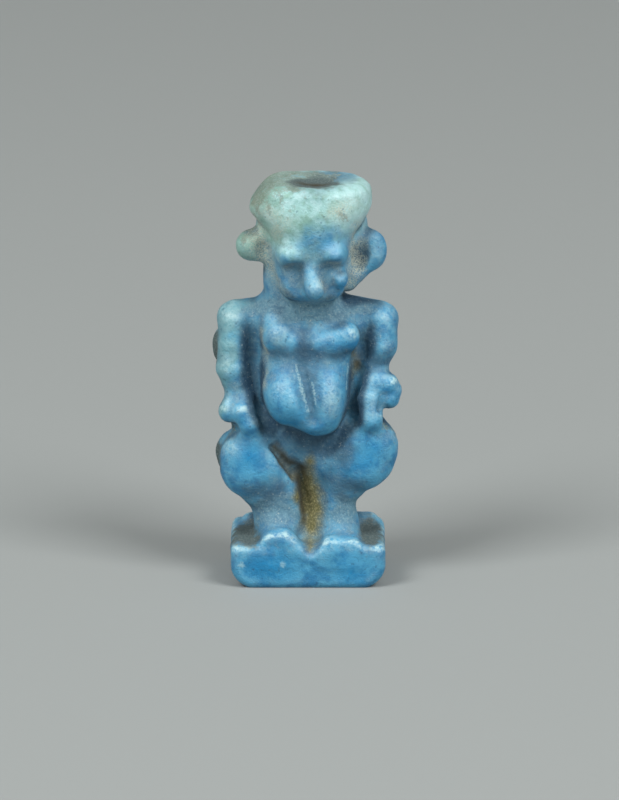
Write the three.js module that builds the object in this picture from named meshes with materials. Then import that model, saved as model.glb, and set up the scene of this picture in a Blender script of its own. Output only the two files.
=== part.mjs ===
// A dwarf-god amulet of moulded and glazed faience, in millimetres: a squat, big-headed figure with bowed
// legs, standing on a low base, with a lug behind the neck that is pierced from side to side for a cord.
// It faces -Y, stands on z = 0 and +X is on the viewer's right. It was pressed in a mould as one piece, so it
// is built as a modeller builds clay. Each mass is a rounded form, given by its distance from any point.
// Masses are joined with a soft seam, hollows are pressed into them, and one skin is drawn over the whole.
import * as THREE from 'three';

// Driving dimensions of the figure
const CROWN = 21.95; // height of the flat crown
const SHOULDER = 14.3; // height of the shoulder line's middle
const HIP = 8.5;
const BASE_HALF_WIDTH = 4.17;
const BASE = { front: -3.12, back: 3.2, high: 2.35, lowCorner: 1.3, edge: 0.42, rear: 1.1 };
const CORD_HOLE = { y: 1.3, z: 16.3, radius: 0.6, reach: 5 };

// The skin's grid: its spacing, and how far it reaches to each side, to the front and to the back
const CELL = 0.44;
const REACH = { side: 5.2, front: -3.6, back: 3.4 };
const RELAX_PASSES = 5;
const SETTLE_TURNS = 3;
const NUDGE = 0.01; // a small step, to find a form's slope

// Forms: each is a function of a point that gives its distance from the surface, negative inside

const mix = THREE.MathUtils.lerp;
const clamp = THREE.MathUtils.clamp;

// A ball, stretched along the axes
function ball([cx, cy, cz], [rx, ry, rz]) {
  return (x, y, z) => {
    const [u, v, w] = [(x - cx) / rx, (y - cy) / ry, (z - cz) / rz];
    const near = Math.hypot(u, v, w);
    const slope = Math.hypot(u / rx, v / ry, w / rz);
    return slope > 1e-9 ? (near * (near - 1)) / slope : -Math.min(rx, ry, rz);
  };
}

// A rounded stroke between two stations of x, y, z and radius
function segment([ax, ay, az, startRadius], [bx, by, bz, endRadius]) {
  const [ux, uy, uz] = [bx - ax, by - ay, bz - az];
  const length2 = ux * ux + uy * uy + uz * uz;
  return (x, y, z) => {
    const [px, py, pz] = [x - ax, y - ay, z - az];
    const t = clamp((px * ux + py * uy + pz * uz) / length2, 0, 1);
    return Math.hypot(px - ux * t, py - uy * t, pz - uz * t) - mix(startRadius, endRadius, t);
  };
}

// Strokes from station to station
function limb(...stations) {
  return join(0.1, ...stations.slice(1).map((station, i) => segment(stations[i], station)));
}

// The masses together, run into each other over the seam's width
function join(seam, ...forms) {
  return (x, y, z) => {
    let d = forms[0](x, y, z);
    for (let i = 1; i < forms.length; i++) {
      const other = forms[i](x, y, z);
      const h = Math.max(seam - Math.abs(d - other), 0) / seam;
      d = Math.min(d, other) - (h * h * seam) / 4;
    }
    return d;
  };
}

// The mass with each tool pressed into it
function press(seam, form, ...tools) {
  return (x, y, z) => {
    let d = form(x, y, z);
    for (const tool of tools) {
      const other = -tool(x, y, z);
      const h = Math.max(seam - Math.abs(d - other), 0) / seam;
      d = Math.max(d, other) + (h * h * seam) / 4;
    }
    return d;
  };
}

// Two distances met at a rounded corner
function rounded(a, b, radius) {
  const corner = Math.hypot(Math.max(a + radius, 0), Math.max(b + radius, 0)) - radius;
  return Math.min(Math.max(a, b) + radius, 0) + corner;
}

// A block with its own corner radius at the foot, at the head and at the rear
function block({ middle, halfWidth, front, back, low, high, lowCorner, highCorner, edge, rear }) {
  const midY = (front + back) / 2;
  const halfDepth = (back - front) / 2;
  const midZ = (low + high) / 2;
  const halfHeight = (high - low) / 2;
  return (x, y, z) => {
    const side = Math.abs(x - middle) - halfWidth;
    const outline = rounded(side, Math.abs(z - midZ) - halfHeight, z > midZ ? highCorner : lowCorner);
    const depth = Math.abs(y - midY) - halfDepth;
    return Math.max(rounded(outline, depth, edge), y > midY ? rounded(side, depth, rear) : -1e3);
  };
}

// A smooth curve through rows of [position, value, value, ...]
function curveThrough(rows) {
  const slope = (n, c) => {
    const [a, b] = [rows[Math.max(n - 1, 0)], rows[Math.min(n + 1, rows.length - 1)]];
    return (b[c] - a[c]) / (b[0] - a[0]);
  };
  return (s) => {
    const at = clamp(s, rows[0][0], rows[rows.length - 1][0]);
    const n = Math.max(rows.findIndex((row) => row[0] >= at), 1);
    const [from, to] = [rows[n - 1], rows[n]];
    const span = to[0] - from[0];
    const t = (at - from[0]) / span;
    return from.slice(1).map((value, c) => {
      const rise = to[c + 1] - value;
      const [a, b] = [slope(n - 1, c + 1) * span, slope(n, c + 1) * span];
      return value + a * t + (3 * rise - 2 * a - b) * t * t + (a + b - 2 * rise) * t * t * t;
    });
  };
}

// A mass given by its cross-sections. A row holds height, middle, front, back and half width. A greater power
// makes squarer sections.
function stack(power, edge, rows) {
  const section = curveThrough(rows);
  const low = rows[0][0];
  const high = rows[rows.length - 1][0];
  return (x, y, z) => {
    const [middle, front, back, halfWidth] = section(z);
    const halfDepth = (back - front) / 2;
    const u = Math.abs(x - middle) / halfWidth;
    const v = Math.abs(y - (front + back) / 2) / halfDepth;
    const a = ((u ** power + v ** power) ** (1 / power) - 1) * Math.min(halfWidth, halfDepth) + edge;
    const b = Math.abs(z - (low + high) / 2) - (high - low) / 2 + edge;
    return Math.min(Math.max(a, b), 0) + Math.hypot(Math.max(a, 0), Math.max(b, 0)) - edge;
  };
}

// All that lies past a plane
function beyond([px, py, pz], normal) {
  const [nx, ny, nz] = new THREE.Vector3(...normal).normalize().toArray();
  return (x, y, z) => -((x - px) * nx + (y - py) * ny + (z - pz) * nz);
}

// The gap between the legs: a narrow slit beside a wider slope, which runs out over the front of the base
function cleft() {
  const slit = stack(2, 0.2, [
    // height, middle, front, back, half width
    [2.6, 0.08, -3.8, -1.9, 0.3],
    [3.5, 0, -3.4, -0.95, 0.36],
    [4.6, -0.13, -3.2, -0.5, 0.38],
    [5.5, -0.28, -3.2, -0.6, 0.36],
    [6.3, -0.5, -3.2, -1, 0.3],
    [7.3, -0.85, -3.2, -1.75, 0.2],
  ]);
  const slope = stack(2, 0.2, [
    // height, middle, front, back, half width
    [1.8, 0.14, -4.6, -3.1, 0.2],
    [2.3, 0.16, -4.2, -2.65, 0.42],
    [2.8, 0.2, -3.8, -1.85, 0.55],
    [3.5, 0.3, -3.4, -1.15, 0.68],
    [4.5, 0.34, -3.2, -0.95, 0.72],
    [5.5, 0.2, -3.2, -1, 0.66],
    [6.4, 0, -3.2, -1.35, 0.45],
  ]);
  return join(0.25, slit, slope);
}

// A foot that ends flush with the front of the base
function foot(middle, halfWidth, high, corner) {
  return block({
    middle,
    halfWidth,
    front: BASE.front,
    back: -0.8,
    low: 1,
    high,
    lowCorner: 0.3,
    highCorner: corner,
    edge: 0.3,
    rear: 0.3,
  });
}

// The slab and the feet on it
function base(halfWidth) {
  const slab = block({ ...BASE, middle: 0, halfWidth, low: -0.06, highCorner: 0.4 });
  const leftInstep = limb([-1.75, -0.7, 2.95, 0.85], [-1.55, -2.1, 2.6, 0.6]);
  const rightInstep = limb([1.8, -0.7, 2.8, 0.85], [1.7, -2.1, 2.2, 0.6]);
  const leftToes = limb([-1.3, -2.65, 2.55, 0.47], [-0.1, -2.65, 1.85, 0.47]);
  const rightToes = limb([1.2, -2.65, 2.15, 0.45], [0.35, -2.65, 1.75, 0.45]);
  const leftFoot = join(0.5, foot(-1.62, 1, 3.05, 0.8), leftInstep, leftToes);
  const rightFoot = join(0.5, foot(1.75, 1.2, 2.68, 0.55), rightInstep, rightToes);
  const leftHeel = limb([-3, 1.9, 2.15, 0.72], [-1.5, 1.5, 2.2, 0.8]);
  const rightHeel = limb([3.25, 1.9, 2.15, 0.72], [1.5, 1.5, 2.2, 0.8]);
  return join(0.3, slab, leftFoot, rightFoot, join(0.3, leftHeel, rightHeel));
}

// The leg on the viewer's left, bowed out at the knee
function leftLeg() {
  const hip = [-2.2, 0.1, HIP - 0.7, 1.45];
  const thigh = [-3.1, -0.75, 6.7, 1.62];
  const knee = [-3.04, -0.75, 6.2, 1.72];
  const shin = [-2.45, -0.5, 5.3, 1.45];
  const calf = [-1.95, -0.35, 4.45, 1.32];
  const ankle = [-1.65, -0.45, 3.3, 1.22];
  const heel = [-1.6, -0.6, 2.4, 1.25];
  const front = limb([-2, -0.8, 6.4, 1], [-1.35, -0.75, 4.6, 0.9], [-1.2, -0.65, 3.2, 0.9]);
  const rear = limb([-2.7, 0.5, 6.6, 1.2], [-1.7, 0.5, 4.2, 0.85], [-1.6, 0.6, 2.4, 0.8]);
  return join(0.6, limb(hip, thigh, knee, shin, calf, ankle, heel), front, rear);
}

// The leg on the viewer's right, with the higher knee and the thinner ankle
function rightLeg() {
  const hip = [2.2, 0.1, HIP - 0.5, 1.45];
  const thigh = [3.12, -0.75, 7.25, 1.74];
  const knee = [2.9, -0.75, 6.7, 1.76];
  const shin = [2.1, -0.5, 5.6, 1.32];
  const calf = [1.6, -0.4, 4.6, 0.95];
  const ankle = [1.55, -0.5, 3.3, 0.92];
  const heel = [1.6, -0.6, 2.3, 1];
  const front = limb([2.3, -0.9, 7, 1], [1.65, -0.8, 4.6, 0.75], [1.6, -0.7, 3.2, 0.75]);
  const inner = ball([1.6, -0.7, 6.6], [1.3, 1.1, 1]);
  const rear = limb([2.6, 0.5, 6.8, 1.2], [1.6, 0.5, 4.4, 0.75], [1.6, 0.6, 2.4, 0.75]);
  return join(0.6, limb(hip, thigh, knee, shin, calf, ankle, heel), front, inner, rear);
}

// Both legs on a thin web, flattened at the knees and hollowed under the belly
function legs() {
  const web = block({
    middle: 0.1,
    halfWidth: 1.3,
    front: -1.3,
    back: 0.85,
    low: 1,
    high: HIP,
    lowCorner: 0.3,
    highCorner: 0.3,
    edge: 0.3,
    rear: 0.3,
  });
  const leftFlat = beyond([-3, -2.05, 6.6], [-0.2, -1, 0.05]);
  const rightFlat = beyond([3, -2.05, 6.9], [0.2, -1, 0.05]);
  const crease = limb([-1.95, -1.55, 7.5, 0.12], [-1.4, -1.5, 6.75, 0.2], [-0.7, -1.3, 5.95, 0.3]);
  const groin = limb([-1.6, -2.6, 8.3, 0.5], [-0.1, -2.2, 7, 0.6], [1.4, -2.6, 8.2, 0.5]);
  const flattened = press(0.9, join(0.6, leftLeg(), rightLeg(), web), leftFlat, rightFlat);
  return press(0.6, press(0.3, flattened, crease), groin);
}

// Two flat breasts, the right one drawn out to the arm
function chest() {
  const left = limb([-1.7, -1.1, 14.2, 0.7], [-1.55, -1.4, 13.7, 0.78], [-1.05, -1.5, 13.45, 0.62]);
  const right = limb([0.65, -1.6, 13.3, 0.5], [1.4, -1.6, 13.4, 0.62], [2.1, -1.5, 13.6, 0.68]);
  return join(0.5, left, right);
}

// The belly, which hangs in two lobes to a point right of the middle
function belly() {
  const left = ball([-1.1, -1.6, 10.3], [1.28, 1.55, 1.5]);
  const right = ball([1.08, -1.6, 10.1], [0.92, 1.5, 1.75]);
  const point = ball([0.5, -1.6, 9.15], [0.8, 1.35, 0.9]);
  return join(0.5, left, right, point);
}

// The wide fall between the lobes of the belly
function valley() {
  const top = [-0.1, -2.95, 12.6, 0.75];
  const end = [0.3, -3.35, 9.4, 0.3];
  return limb(top, [-0.05, -3.35, 11.4, 0.8], [0.12, -3.4, 10.4, 0.55], end);
}

// The trunk with its chest, belly and hips
function torso() {
  const trunk = stack(2.5, 0.5, [
    // height, middle, front, back, half width
    [8.3, 0.3, -2.2, 1.6, 0.75],
    [8.9, 0.25, -2.75, 1.7, 1.35],
    [9.6, 0.1, -3, 1.7, 1.95],
    [10.5, -0.05, -3, 1.7, 2.3],
    [11.6, -0.05, -2.6, 1.7, 2.4],
    [12.7, -0.05, -2.05, 1.7, 2.45],
    [13.9, 0, -1.65, 1.7, 2.6],
    [15.2, 0, -1.2, 1.7, 2.6],
  ]);
  const hips = ball([0.1, 0.15, 7.7], [3.1, 1.45, 1.5]);
  const front = join(0.5, join(0.8, trunk, chest()), belly());
  return join(0.6, press(0.5, front, valley()), hips);
}

// The arm on the viewer's left, with its fist on the thigh
function leftArm() {
  const shoulder = [-3.98, -0.3, 14.25, 0.78];
  const upper = [-4.1, -0.55, 12.9, 0.7];
  const elbow = [-4.12, -0.6, 11.65, 0.8];
  const wrist = [-3.82, -0.6, 10.5, 0.62];
  const knuckle = limb([-3.9, -0.75, 10, 0.56], [-4.18, -0.95, 9.35, 0.64]);
  const fist = limb(
    [-3.5, -0.85, 9.9, 0.54],
    [-3.48, -1.35, 9.35, 0.64],
    [-3.15, -1.55, 8.75, 0.54],
    [-3, -1.3, 8, 0.5],
  );
  const heelOfHand = ball([-3.45, -0.5, 9], [0.7, 0.6, 0.9]);
  return join(0.3, limb(shoulder, upper, elbow, wrist), knuckle, fist, heelOfHand);
}

// The arm on the viewer's right, with a hooked hand over the thigh
function rightArm() {
  const shoulder = [3.95, -0.3, 14.2, 0.8];
  const upper = [4, -0.55, 12.85, 0.75];
  const elbow = [3.6, -0.5, 11.9, 0.62];
  const wrist = [3.75, -0.8, 11.2, 0.58];
  const palm = limb([3.6, -1, 10.95, 0.62], [3.35, -1.35, 10.1, 0.66], [3.4, -1.6, 9.05, 0.62]);
  const knuckles = limb(
    [3.7, -0.95, 11, 0.62],
    [4.25, -1.05, 10.85, 0.62],
    [4.5, -0.95, 10.5, 0.56],
    [4.37, -1.05, 10.1, 0.58],
  );
  return join(0.3, limb(shoulder, upper, elbow, wrist), palm, knuckles);
}

// Both arms, the shoulders and the thin flanges left by the mould
function arms() {
  const shoulders = limb([-3.9, 0.25, SHOULDER, 0.8], [3.85, 0.25, SHOULDER - 0.05, 0.8]);
  const upperFlange = ball([-4.45, 0.65, 12.6], [0.62, 0.45, 0.9]);
  const lowerFlange = ball([-4.3, 0.5, 6.5], [0.64, 0.45, 1]);
  return join(0.35, join(0.4, shoulders, leftArm(), rightArm()), upperFlange, lowerFlange);
}

// The plainer rear of the figure, whose front shows in the gaps beside the trunk
function back() {
  const trunk = stack(3, 0.5, [
    // height, middle, front, back, half width
    [6.3, 0, -0.1, 1.2, 3.3],
    [7.5, 0, -0.3, 1.6, 3.9],
    [9, 0, -0.45, 1.6, 3.9],
    [10.5, 0, -0.5, 1.35, 3.85],
    [12, 0, -0.5, 1.45, 4],
    [13.5, 0, -0.4, 1.7, 4.1],
    [15.1, 0, -0.3, 1.5, 3.8],
  ]);
  const muscles = [-1, 1].flatMap((side) => [
    ball([side * 1.85, 1.08, 13.3], [1.5, 1, 1.5]),
    ball([side * 1.53, 1.08, 8.05], [1.65, 1.5, 1.55]),
  ]);
  const spine = limb([0, 2.45, 14.6, 0.5], [0, 2.1, 11.5, 0.6], [0, 2.3, 9, 0.5]);
  return press(0.7, join(0.8, trunk, join(0.5, ...muscles)), spine);
}

// The broad head, flat on top, with a dished crown
function skull(crown) {
  const mass = stack(2.4, 0.5, [
    // height, middle, front, back, half width
    [15.8, 0.25, -2.5, 1.2, 1.35],
    [16.4, 0.22, -2.55, 1.4, 1.75],
    [17, 0.18, -2.6, 1.5, 2],
    [17.8, 0.13, -2.6, 1.6, 2.12],
    [18.5, 0.13, -2.65, 1.9, 2.22],
    [19.2, 0.13, -2.8, 2.3, 2.45],
    [19.9, 0.13, -2.88, 2.55, 2.9],
    [20.6, 0.08, -2.85, 2.65, 3.3],
    [21.3, 0.1, -2.7, 2.6, 3.3],
    [crown, 0.15, -2.55, 2.5, 3.1],
  ]);
  const bevelled = press(0.5, mass, beyond([-2.5, 0, crown - 0.45], [-0.7, 0, 0.72]));
  const dish = ball([0.45, -0.5, crown + 0.65], [1.8, 1.95, 0.86]);
  const occiput = ball([0.2, 0.5, 19.4], [3, 2, 2]);
  return join(0.3, press(0.3, bevelled, dish), occiput);
}

// Worn features on the front of the head
function face(crown) {
  const leftBrow = ball([-0.92, -2.15, 18.35], [0.7, 0.95, 0.58]);
  const rightBrow = ball([1.4, -2.15, 18.4], [0.64, 0.95, 0.58]);
  const jaw = limb([-0.85, -1.7, 16.4, 0.55], [1.25, -1.7, 16.35, 0.55]);
  const eyes = [ball([-0.78, -3, 17.55], [0.58, 0.6, 0.4]), ball([1.25, -3, 17.6], [0.6, 0.58, 0.4])];
  const mouth = [ball([-0.72, -2.95, 16.75], [0.5, 0.62, 0.75]), ball([1.17, -2.95, 16.7], [0.4, 0.62, 0.7])];
  const nose = segment([0.08, -2.35, 17.55, 0.42], [0.35, -2.7, 16.55, 0.54]);
  const cheek = ball([1.7, -1.95, 16.95], [0.45, 0.7, 0.5]);
  const front = join(0.6, skull(crown), join(0.3, leftBrow, rightBrow), jaw);
  return join(0.2, press(0.45, front, ...eyes, ...mouth), nose, cheek);
}

// Round ears, hollowed beside the head
function ears() {
  const left = limb([-3.02, -0.35, 18.42, 0.87], [-2.2, -0.5, 18.55, 1.05]);
  const right = join(
    0.4,
    ball([3.15, -0.2, 18.15], [1.1, 0.6, 1.15]),
    limb([3.4, -0.2, 17.75, 0.6], [2.1, -0.5, 16.5, 0.6]),
    limb([2.2, -0.6, 18.3, 0.6], [2.1, -0.7, 17.2, 0.6]),
  );
  const hollows = [ball([-2.4, -1.6, 18.2], [0.5, 0.5, 0.75]), ball([2.72, -1.1, 17.95], [0.48, 0.42, 0.75])];
  return press(0.45, join(0.4, left, right), ...hollows);
}

// The thick neck, with the pierced lug behind it
function neck() {
  const column = stack(3.2, 0.6, [
    // height, middle, front, back, half width
    [13.9, -0.3, -1.2, 1.9, 2.3],
    [15, -0.3, -1.2, 2.2, 2.12],
    [16.2, -0.3, -1.2, 2.65, 2.12],
    [17.1, -0.3, -1.2, 2.6, 2.12],
    [17.9, -0.3, -1.2, 2.3, 2.1],
  ]);
  const throat = ball([0.2, -0.8, 15.3], [1.3, 1, 1]);
  return join(0.6, column, throat);
}

// The whole figure as one form
function figureForm() {
  const hole = [CORD_HOLE.y, CORD_HOLE.z, CORD_HOLE.radius];
  const cordHole = segment([-CORD_HOLE.reach, ...hole], [CORD_HOLE.reach, ...hole]);
  const head = press(0.2, join(0.45, face(CROWN), ears(), neck()), cordHole);
  const upper = join(0.75, torso(), arms(), back());
  const lower = press(0.35, join(0.7, base(BASE_HALF_WIDTH), legs()), cleft());
  return join(0.5, lower, upper, head);
}

// The skin: a vertex for each patch of surface inside a grid cell, drawn onto the surface. Cells that reach
// through the ground put theirs on z = 0, which makes the flat underside.

// The two axes across an axis
const across = (axis) => [(axis + 1) % 3, (axis + 2) % 3];

// The corners of a cell, and its edges: each edge's number, its lower corner and its upper corner
const CORNERS = Array.from({ length: 8 }, (_, n) => [n & 1, (n >> 1) & 1, n >> 2]);
const EDGES = [0, 1, 2].flatMap((axis) =>
  [0, 1, 2, 3].map((n) => {
    const [b, c] = across(axis);
    const lower = ((n & 1) << b) | ((n >> 1) << c);
    return [edgeNumber(lower, axis), lower, lower | (1 << axis)];
  }),
);

// The number of the edge that runs from a corner along an axis: 4 * axis + its place among the axis's four
function edgeNumber(corner, axis) {
  const [b, c] = across(axis);
  return 4 * axis + ((corner >> b) & 1) + 2 * ((corner >> c) & 1);
}

// A form measured on a grid. The layer of nodes under the ground counts as outside.
class Grid {
  constructor(form, low, high) {
    this.axes = low.map((start, axis) => {
      const count = Math.ceil((high[axis] - start) / CELL) + 3;
      return Array.from({ length: count }, (_, n) => start + (n - 1) * CELL);
    });
    this.size = this.axes.map((axis) => axis.length);
    this.values = new Float32Array(this.size[0] * this.size[1] * this.size[2]).fill(1);
    for (const node of this.nodes([0, 0, 1], this.size)) {
      this.values[this.number(node)] = form(...this.place(node));
    }
  }

  // The nodes from a first one to the last one before an end
  *nodes([firstX, firstY, firstZ], [endX, endY, endZ]) {
    for (let k = firstZ; k < endZ; k++)
      for (let j = firstY; j < endY; j++)
        for (let i = firstX; i < endX; i++) yield [i, j, k];
  }

  number([i, j, k]) {
    return (k * this.size[1] + j) * this.size[0] + i;
  }

  place(node) {
    return node.map((n, axis) => this.axes[axis][n]);
  }

  value(node) {
    return this.values[this.number(node)];
  }
}

// The edges of a cell that the surface crosses, gathered into patches across its faces
function patches(inside) {
  const group = Array.from({ length: EDGES.length }, (_, n) => n);
  const root = (n) => (group[n] === n ? n : root(group[n]));
  for (const axis of [0, 1, 2])
    for (const side of [0, 1]) {
      const [b, c] = across(axis);
      const corners = [0, 1 << b, (1 << b) | (1 << c), 1 << c].map((corner) => corner | (side << axis));
      const crossed = corners.flatMap((corner, n) => {
        const next = corners[(n + 1) % 4];
        return inside[corner] === inside[next] ? [] : [edgeNumber(corner & next, n % 2 ? c : b)];
      });
      if (crossed.length === 4 && inside[corners[0]]) crossed.push(crossed.shift());
      for (let n = 1; n < crossed.length; n += 2) group[root(crossed[n])] = root(crossed[n - 1]);
    }
  return root;
}

// Adds a vertex for each patch in a cell, in the middle of the places where its edges are crossed
function addVertices(grid, cell, points, vertexOf) {
  const nodes = CORNERS.map((corner) => corner.map((step, axis) => cell[axis] + step));
  const values = nodes.map((node) => grid.value(node));
  const inside = values.map((value) => value < 0);
  if (inside.every((value) => value === inside[0])) return;
  const root = patches(inside);
  const found = new Map();
  for (const [edge, lower, upper] of EDGES) {
    if (inside[lower] === inside[upper]) continue;
    const [start, end] = [lower, upper].map((n) => new THREE.Vector3(...grid.place(nodes[n])));
    const place = start.lerp(end, values[lower] / (values[lower] - values[upper]));
    const patch = root(edge);
    found.set(patch, [...(found.get(patch) ?? []), { edge, place }]);
  }
  for (const crossings of found.values()) {
    const vertex = new THREE.Vector3();
    for (const { edge, place } of crossings) {
      vertex.add(place);
      vertexOf[grid.number(cell) * EDGES.length + edge] = points.length;
    }
    vertex.divideScalar(crossings.length);
    vertex.onGround = cell[2] === 0;
    if (vertex.onGround) vertex.z = 0;
    points.push(vertex);
  }
}

// A four-sided face for each grid edge that the surface crosses
function facesOf(grid, vertexOf) {
  const turn = [[1, 1], [0, 1], [0, 0], [1, 0]];
  const quads = [];
  for (const node of grid.nodes([1, 1, 0], grid.size.map((n) => n - 1)))
    for (const axis of [0, 1, 2]) {
      const next = node.map((n, other) => (other === axis ? n + 1 : n));
      const inside = grid.value(node) < 0;
      if (inside === grid.value(next) < 0) continue;
      const [b, c] = across(axis);
      const ring = turn.map(([stepB, stepC]) => {
        const cell = [...node];
        cell[b] -= stepB;
        cell[c] -= stepC;
        return vertexOf[grid.number(cell) * EDGES.length + 4 * axis + stepB + 2 * stepC];
      });
      quads.push(inside ? ring : ring.reverse());
    }
  return quads;
}

// Draws a vertex onto the form. One on the ground moves along it.
function settle(form, point) {
  for (let turn = 0; turn < SETTLE_TURNS; turn++) {
    if (!point.onGround) point.z = Math.max(point.z, CELL / 3);
    const level = point.z <= CELL / 3;
    const { x, y, z } = point;
    const slope = new THREE.Vector3(
      form(x + NUDGE, y, z) - form(x - NUDGE, y, z),
      form(x, y + NUDGE, z) - form(x, y - NUDGE, z),
      level ? 0 : form(x, y, z + NUDGE) - form(x, y, z - NUDGE),
    ).divideScalar(2 * NUDGE);
    const steep = Math.max(slope.lengthSq(), 0.25);
    point.addScaledVector(slope, clamp(-form(x, y, z) / steep, -CELL / 2, CELL / 2));
  }
}

// Evens out the vertices along the skin and draws each one back onto the form. The rim of the underside keeps
// its place along the skin, and the vertices inside the rim stay on the ground.
function relax(form, points, quads) {
  const onEdge = quads.filter((ring) => ring.some((n) => !points[n].onGround)).flat();
  const rim = new Set(onEdge.filter((n) => points[n].onGround));
  const drawn = points.filter((point, n) => !point.onGround || rim.has(n));
  drawn.forEach((point) => settle(form, point));
  for (let pass = 0; pass < RELAX_PASSES; pass++) {
    const sums = points.map(() => new THREE.Vector3());
    const counts = points.map(() => 0);
    for (const ring of quads)
      ring.forEach((vertex, n) => {
        sums[vertex].add(points[ring[(n + 1) % 4]]).add(points[ring[(n + 3) % 4]]);
        counts[vertex] += 2;
      });
    points.forEach((point, n) => {
      if (rim.has(n)) return;
      const { z } = point;
      point.lerp(sums[n].divideScalar(counts[n]), 0.5);
      if (point.onGround) point.z = z;
    });
    drawn.forEach((point) => settle(form, point));
  }
}

// The triangles of the form's surface. Each four-sided face is split along its shorter diagonal.
function skin(form, low, high) {
  const grid = new Grid(form, low, high);
  const points = [];
  const vertexOf = new Int32Array(grid.values.length * EDGES.length).fill(-1);
  for (const cell of grid.nodes([0, 0, 0], grid.size.map((n) => n - 1))) {
    addVertices(grid, cell, points, vertexOf);
  }
  const quads = facesOf(grid, vertexOf);
  relax(form, points, quads);
  const triangles = quads.flatMap(([p, q, r, s]) => {
    const first = points[p].distanceToSquared(points[r]) < points[q].distanceToSquared(points[s]);
    return first ? [p, q, r, p, r, s] : [p, q, s, q, r, s];
  });
  const geometry = new THREE.BufferGeometry().setFromPoints(points);
  geometry.setIndex(triangles);
  geometry.computeVertexNormals();
  return geometry;
}

const amulet = new THREE.Group();
const faience = new THREE.MeshStandardMaterial({ color: 0x4f93bd, roughness: 0.45, metalness: 0 });
const low = [-REACH.side, REACH.front, CELL / 2];
const high = [REACH.side, REACH.back, CROWN];
const mesh = new THREE.Mesh(skin(figureForm(), low, high), faience);
mesh.name = 'pataikos_figure';
amulet.add(mesh);

export default amulet;
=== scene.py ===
"""A dwarf-god amulet of moulded and glazed faience, dressed for its portrait.

The figure is modelled as it was made: one pressed piece, built from rounded masses that run into each other. The
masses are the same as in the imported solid, with the finer relief of the mould and the wear added here. The forms
are worked out in millimetres and the mesh is in metres. The figure faces -Y and stands on z = 0.
"""

from math import cos, pi, radians, sin

import bpy
import numpy as np
from bpy.props import FloatProperty, FloatVectorProperty, PointerProperty
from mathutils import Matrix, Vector, noise


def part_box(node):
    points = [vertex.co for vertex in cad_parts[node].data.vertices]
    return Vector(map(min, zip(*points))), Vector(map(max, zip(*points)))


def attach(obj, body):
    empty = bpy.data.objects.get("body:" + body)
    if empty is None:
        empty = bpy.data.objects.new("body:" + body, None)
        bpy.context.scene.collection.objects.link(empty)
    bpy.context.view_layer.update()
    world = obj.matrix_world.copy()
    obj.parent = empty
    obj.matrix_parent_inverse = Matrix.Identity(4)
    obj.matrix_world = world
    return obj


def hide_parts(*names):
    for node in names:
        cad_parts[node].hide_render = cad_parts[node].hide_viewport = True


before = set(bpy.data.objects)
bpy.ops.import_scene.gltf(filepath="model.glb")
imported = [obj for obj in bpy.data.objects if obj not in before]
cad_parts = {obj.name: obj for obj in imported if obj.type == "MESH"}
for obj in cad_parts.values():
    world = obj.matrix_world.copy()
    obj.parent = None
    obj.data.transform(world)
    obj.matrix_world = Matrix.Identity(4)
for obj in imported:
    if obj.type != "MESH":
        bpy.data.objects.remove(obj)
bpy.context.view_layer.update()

bl_info = {
    "name": "Pataikos Amulet",
    "version": (1, 0, 0),
    "blender": (4, 5, 0),
    "location": "3D View > Sidebar > Amulet",
    "description": "Models a worn faience amulet of a dwarf god and the studio it stands in",
    "category": "Add Mesh",
}

NODE = "pataikos_figure"
MM = 0.001
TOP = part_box(NODE)[1].z

# Places that several masses share, in millimetres
SHOULDER = 14.3
HIP = 8.5
CORD_HOLE = {"y": 1.3, "z": 16.3}
BASE = {"front": -3.12, "back": 3.2, "high": 2.35, "low_corner": 1.3, "edge": 0.42, "rear": 1.1}


def length(name, description, value, top):
    """A size that a user may change, shown in the scene's units."""
    return FloatProperty(
        name=name, description=description, default=value * MM, min=0, max=top * MM, unit="LENGTH", precision=5
    )


def tint(name, description, value):
    """A colour that a user may change."""
    return FloatVectorProperty(
        name=name, description=description, default=value, min=0, max=1, size=3, subtype="COLOR"
    )


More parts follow.
